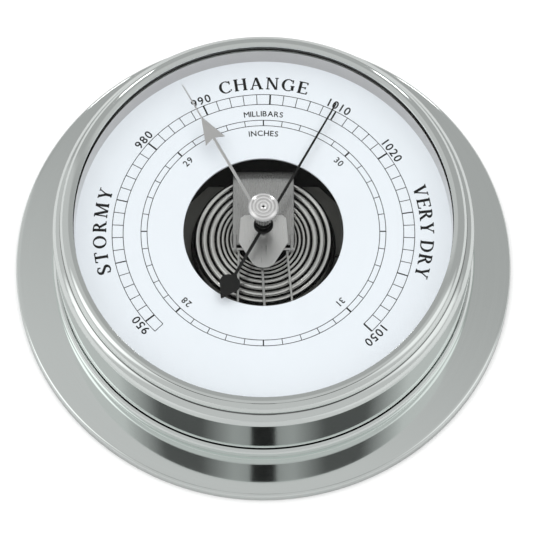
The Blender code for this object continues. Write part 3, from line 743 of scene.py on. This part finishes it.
def sans_letter(letter):
    """The same for a plain letter or a figure, from Blender's own typeface."""
    text = bpy.data.curves.new("type", "FONT")
    text.body = letter
    text.offset = 0 if letter == "M" else BOLD
    holder = bpy.data.objects.new("type", text)
    bpy.context.scene.collection.objects.link(holder)
    graph = bpy.context.evaluated_depsgraph_get()
    data = bpy.data.meshes.new_from_object(holder.evaluated_get(graph))
    bpy.data.objects.remove(holder)
    points = [v.co.xy for v in data.vertices]
    low_x, high_x = min(p.x for p in points), max(p.x for p in points)
    low_y, high_y = min(p.y for p in points), max(p.y for p in points)
    size = 1 / (high_y - low_y)
    points = [((p.x - low_x) * size, (p.y - low_y) * size) for p in points]
    width = (high_x - low_x) * size
    room = max(0.0, NARROW_FIGURE - width) if letter.isdigit() else 0.0
    faces = [[(points[i][0] + room / 2, points[i][1]) for i in polygon.vertices] for polygon in data.polygons]
    bpy.data.meshes.remove(data)
    if letter == "M":
        faces += [[(x + 2 * BOLD, y) for x, y in face] for face in faces]
    return faces, width + room


def lettering(text, source, angle, radius, height, length=None):
    """Text round the dial: its middle at this angle, its feet on this radius, filling a length if given."""
    letters = [source(letter) for letter in text]
    widths = [width * height for _, width in letters]
    space = LETTER_GAP * height if length is None else (length - sum(widths)) / (len(text) - 1)
    start = -(sum(widths) + space * (len(text) - 1)) / 2
    middle = radius + height / 2
    faces = []
    for (shapes, width), wide in zip(letters, widths):
        turn = angle + math.degrees((start + wide / 2) / middle)
        for face in shapes:
            faces.append([on_dial(turn, radius, (x - width / 2) * height, y * height) for x, y in face])
        start += wide + space
    return faces


def printed(name, faces):
    """Flat faces as a thin closed layer of ink on the dial."""
    mesh = bmesh.new()
    level = span("dial")[2] * MM
    for face in faces:
        mesh.faces.new([mesh.verts.new((x * MM, y * MM, level)) for x, y in face])
    bmesh.ops.remove_doubles(mesh, verts=mesh.verts, dist=OWN_JOIN)
    raised = bmesh.ops.extrude_face_region(mesh, geom=mesh.faces[:], use_keep_orig=True)["geom"]
    corners = [v for v in raised if isinstance(v, bmesh.types.BMVert)]
    bmesh.ops.translate(mesh, verts=corners, vec=(0, 0, INK_THICK * MM))
    return placed(name, mesh, "hand_black", "case")


def millibar_angle(pressure):
    low, high = MILLIBAR_ENDS
    return MILLIBAR_SWEEP * ((pressure - low) / (high - low) - 0.5)


def print_millibars():
    low, high = MILLIBAR_ENDS
    faces = []
    for radius in MILLIBAR_RING:
        faces += ring_line(radius, millibar_angle(low), millibar_angle(high))
    for pressure in range(low, high + 1, 2):
        medium = MEDIUM_TICK if pressure % 10 == 0 else TICK
        width = BOLD_TICK if pressure in MILLIBAR_BOLD else medium
        faces += tick(millibar_angle(pressure), MILLIBAR_RING, width)
    printed("millibar_scale", faces)


def print_inches():
    faces = []
    for radius in INCH_RING:
        faces += ring_line(radius, 0, 360)
    for cell in range(INCH_CELLS):
        angle = cell * 360 / INCH_CELLS
        medium = MEDIUM_TICK if cell % 10 == 0 else TICK
        faces += tick(angle, INCH_RING, BOLD_TICK if cell % 10 == 5 else medium)
    printed("inch_scale", faces)


def print_lettering():
    faces = []
    for pressure in MILLIBAR_FIGURES:
        faces += lettering(str(pressure), sans_letter, millibar_angle(pressure), LABEL_RADIUS, LABEL_HEIGHT)
    printed("millibar_figures", faces)
    faces = []
    for inches, angle in INCH_FIGURES:
        faces += lettering(str(inches), sans_letter, angle, INCH_LABEL_RADIUS, INCH_LABEL_HEIGHT)
    printed("inch_figures", faces)
    faces = []
    for name, radius, length in UNIT_NAMES:
        faces += lettering(name, sans_letter, 0, radius, UNIT_HEIGHT, length)
    printed("unit_names", faces)
    faces = []
    for word, angle, length in WEATHER_WORDS:
        faces += lettering(word, serif_letter, angle, WORD_RADIUS, WORD_HEIGHT, length)
    printed("weather_words", faces)


# Pieces

def make_case():
    """The turned case; its walls cast no shadow, so that the dial is evenly lit right up to its edge."""
    for node in ("base_flange", "foot_bead"):
        respun(node, RING_STEPS)
    walls = [respun(node, RING_STEPS) for node in ("case_drum", "bezel_ring")]
    walls += [respun(node, RING_STEPS, FINE_BREAK) for node in ("glass_gasket", "dial_ring")]
    for wall in walls:
        wall.visible_shadow = False
    for node in ("glass", "dial", "dial_carrier"):
        respun(node, RING_STEPS, FINE_BREAK)
    for node in ("glass_bush", "carrier_post_1", "carrier_post_2", "carrier_post_3"):
        respun(node)


def band(inner, outer, bottom, top):
    """Outline of a flat ring or of a short tube."""
    return [(inner, bottom), (outer, bottom), (outer, top), (inner, top)]


def make_lining():
    """Black sheets inside the case that paint its shade: on the rear cover, on the wall, and under the dial.
    """
    floor = span("rear_cover")[2] + SHADE_SHEET_GAP
    roof = span("dial")[1] - SHADE_SHEET_GAP
    outlines = {
        "cover_shade_sheet": band(*COVER_SHADE_SHEET, floor, floor + SHADE_SHEET),
        "dial_shade_sheet": band(*DIAL_SHADE_SHEET, roof - SHADE_SHEET, roof),
        "wall_shade_sheet": band(WALL_SHADE_SHEET - WALL_SHADE_SHEET_THICK, WALL_SHADE_SHEET, *WALL_SHADE_SHEET_HEIGHTS),
    }
    for name, outline in outlines.items():
        placed(name, lathed(outline, RING_STEPS), "gasket_rubber", "case")


def make_screws():
    """Turned screws with a slot across the head, on the side away from the shank."""
    heads = [f"cover_screw_{i}" for i in range(1, 5)] + [f"movement_screw_{i}" for i in range(1, 5)]
    for count, node in enumerate([*heads, "calibration_screw"]):
        piece = respun(node, POST_STEPS, SCREW_BREAK)
        low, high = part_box(node)
        middle = (low + high) / 2
        radius, bottom, top = span(node)
        face, deep = (top, top - SLOT_DEPTH) if node.startswith("movement") else (bottom, bottom + SLOT_DEPTH)
        reach = radius * 1.2
        lowest, highest = min(deep, face - SLOT_CLEAR), max(deep, face + SLOT_CLEAR)
        slot = box_mesh((-reach, -SLOT_HALF, lowest), (reach, SLOT_HALF, highest))
        turn = Matrix.Rotation(math.radians(SLOT_FIRST_TURN + SLOT_NEXT_TURN * count), 4, "Z")
        place = Matrix.Translation((middle.x, middle.y, 0))
        bmesh.ops.transform(slot, matrix=place @ turn, verts=slot.verts)
        carved(piece, slot)


def make_movement():
    """The turned pieces of the movement and of the hands, and the finishes of those that stay as they are."""
    posts = ["arbor_plate_post_left", "arbor_plate_post_right", "capsule_foot", "capsule_boss"]
    posts += ["hairspring_post"] + [f"movement_pillar_{i}" for i in range(1, 5)]
    for node in posts:
        respun(node, POST_STEPS, FINE_BREAK)
    respun("capsule_upper", CAPSULE_STEPS, CAPSULE_BREAK)
    respun("capsule_lower", HIDDEN_CAPSULE_STEPS, CAPSULE_BREAK)
    for node in ("pointer_hub", "pointer_arbor", "set_shaft"):
        respun(node, SMALL_STEPS, FINE_BREAK)
    for node in ("lever_wire_left", "lever_wire_right", "lever_axle", "rocking_shaft", "hairspring"):
        frame["nodes"][node].data.materials.clear()
        frame["nodes"][node].data.materials.append(FINISHES[OWN_FINISHES.get(node, SLOTS[node])])


def make_formed_pieces():
    """Flat and bent pieces, each with as much of its edges broken as suits its size."""
    for edge_break, nodes in FORMED_BREAKS:
        for node in nodes:
            softened(node, edge_break)


def make_knob():
    """Disc head with turned rings and a centre mark, on a neck with straight knurling."""
    radius, bottom, top = span("set_knob")
    under = top - KNOB_HEAD
    outline = [(KNOB_BORE, bottom), (KNOB_NECK - 0.25, bottom), (KNOB_NECK, bottom + 0.25)]
    outline += [(KNOB_NECK, under - 0.35), (KNOB_NECK - 0.3, under - 0.1), (KNOB_NECK + 0.3, under)]
    outline += [(radius - inward, under + up) for inward, up in KNOB_EDGE]
    outline += [(out, top - down) for out, down in KNOB_FACE]
    outline += [(0, KNOB_BORE_TOP), (KNOB_BORE, KNOB_BORE_TOP)]

    def knurled(out, height, angle):
        on_neck = abs(out - KNOB_NECK) < 0.02 and bottom + 0.2 < height < under - 0.3
        return out - (KNOB_KNURL * (0.5 + 0.5 * math.cos(KNOB_TEETH * angle)) if on_neck else 0.0)

    mesh = lathed(outline, KNOB_TEETH * 8, reach=knurled)
    stand_in("set_knob_turned", mesh, "set_knob")


# Studio

def gap_brightness(tree, x):
    """Brightness across the gap: it rises away from the middle, and then falls."""
    aside = arithmetic(tree, "ABSOLUTE", x)
    return arithmetic(tree, "ADD", ramp(tree, aside, *GAP_RISE), ramp(tree, aside, *GAP_FALL))


def sky_brightness(tree, x, y, z):
    """Even sky with a soft bright patch on each side."""
    leaning = arithmetic(tree, "MULTIPLY_ADD", x, SKY_SLOPES[0], SKY_LEVEL)
    sloping = arithmetic(tree, "MULTIPLY_ADD", y, SKY_SLOPES[1], leaning)
    low, high = SKY_LIMITS
    sky = arithmetic(tree, "MAXIMUM", arithmetic(tree, "MINIMUM", sloping, high), low)
    off = [
        arithmetic(tree, "MULTIPLY_ADD", axis, 1 / size, -place / size)
        for axis, size, place in zip((y, z), PATCH_SIZE, PATCH_PLACE)
    ]
    squared = arithmetic(tree, "MULTIPLY_ADD", off[0], off[0], arithmetic(tree, "MULTIPLY", off[1], off[1]))
    patch = ramp(tree, squared, *PATCH_EDGES, 0.0, PATCH_STRENGTH)
    weight = arithmetic(tree, "MULTIPLY_ADD", x, PATCH_SLOPE, PATCH_LEVEL)
    return arithmetic(tree, "MULTIPLY_ADD", patch, weight, sky)


def make_world():
    """Grey studio: a soft bright patch on each side, and a darker gap in front, as high as the camera."""
    world = bpy.data.worlds.new("studio")
    world.use_nodes = True
    bpy.context.scene.world = world
    tree = world.node_tree
    direction = add(tree, "ShaderNodeTexCoord").outputs["Generated"]
    x, y, z = axes(tree, direction)
    gap_height = math.sin(math.radians(CAMERA_DEPRESSION + GAP_ABOVE))
    off = arithmetic(tree, "ABSOLUTE", arithmetic(tree, "SUBTRACT", z, gap_height))
    gap = arithmetic(tree, "MULTIPLY", ramp(tree, off, *GAP_EDGES), ramp(tree, y, *GAP_AHEAD))
    shades = {0: gap, 2: sky_brightness(tree, x, y, z), 3: gap_brightness(tree, x)}
    background = tree.nodes["Background"]
    tree.links.new(add(tree, "ShaderNodeMix", shades).outputs[0], background.inputs["Strength"])
    background.inputs["Color"].default_value = (1, 1, 1, 1)


def make_lamp(name, place, size, power, mirrored):
    """Rectangular light that the camera never sees; only a mirrored one shows in polished metal."""
    light = bpy.data.lights.new(name, "AREA")
    light.shape = "RECTANGLE"
    light.size, light.size_y = size
    light.energy = power
    lamp = bpy.data.objects.new(name, light)
    lamp.location = place
    lamp.rotation_euler = (-Vector(place)).to_track_quat("-Z", "Y").to_euler()
    lamp.visible_camera = False
    lamp.visible_glossy = mirrored
    bpy.context.scene.collection.objects.link(lamp)


def plain(name, colour):
    """Even matt finish for the studio."""
    made = bpy.data.materials.new(name)
    made.use_nodes = True
    shader = made.node_tree.nodes["Principled BSDF"]
    shader.inputs["Base Color"].default_value = (*colour, 1)
    shader.inputs["Roughness"].default_value = 0.9
    shader.inputs["Specular IOR Level"].default_value = 0.0
    return made


def floor_finish():
    """Matt white paper, which mirrors show as grey in front of the object and lighter on both sides of it."""
    made = plain("floor", (1.0, 1.0, 1.0))
    tree = made.node_tree
    aside = arithmetic(tree, "ABSOLUTE", axes(tree, place_on_object(tree))[0])
    dull = add(tree, "ShaderNodeBsdfDiffuse", {"Color": ramp(tree, aside, *FLOOR_MIRRORED)}).outputs[0]
    seen = add(tree, "ShaderNodeLightPath").outputs["Is Camera Ray"]
    white = tree.nodes["Principled BSDF"].outputs[0]
    mixed = add(tree, "ShaderNodeMixShader", {0: seen, 1: dull, 2: white}).outputs[0]
    tree.links.new(mixed, tree.nodes["Material Output"].inputs["Surface"])
    return made


def studio_piece(name, mesh, material):
    """Object of this mesh that belongs to the studio."""
    data = bpy.data.meshes.new(name)
    mesh.to_mesh(data)
    mesh.free()
    data.materials.append(material)
    piece = bpy.data.objects.new(name, data)
    bpy.context.scene.collection.objects.link(piece)
    return piece


def make_camera():
    lens = bpy.data.cameras.new("camera")
    lens.lens = CAMERA_LENS
    lens.sensor_width = CAMERA_SENSOR
    lens.shift_x = CAMERA_SHIFT
    camera = bpy.data.objects.new("camera", lens)
    camera.location = CAMERA_PLACE
    camera.rotation_euler = (math.radians(90 - CAMERA_DEPRESSION), 0, 0)
    bpy.context.scene.collection.objects.link(camera)
    bpy.context.scene.camera = camera


def make_stage():
    """Floor just under the object, and a dark card that only mirrors see."""
    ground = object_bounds()[0].z / MM - FLOOR_GAP
    mesh = box_mesh((-FLOOR_HALF, -FLOOR_HALF, -FLOOR_THICK), (FLOOR_HALF, FLOOR_HALF, ground))
    floor = studio_piece("floor", mesh, floor_finish())
    mesh = box_mesh((-CARD_HALF, -CARD_HALF, 0), (CARD_HALF, CARD_HALF, CARD_THICK))
    card = studio_piece("dark_card", mesh, plain("dark_card", (0.01, 0.01, 0.01)))
    back = Vector(CAMERA_PLACE).normalized()
    card.location = Vector(CAMERA_PLACE) + back * CARD_BEHIND * MM
    card.rotation_euler = back.to_track_quat("Z", "Y").to_euler()
    card.visible_camera = False
    card.visible_shadow = False


make_case()
make_lining()
print_millibars()
print_inches()
print_lettering()
make_screws()
make_movement()
make_formed_pieces()
make_knob()
make_stage()
make_world()
for lamp_name, lamp_settings in LAMPS.items():
    make_lamp(lamp_name, *lamp_settings)
make_camera()
bpy.context.scene.view_settings.view_transform = "Standard"
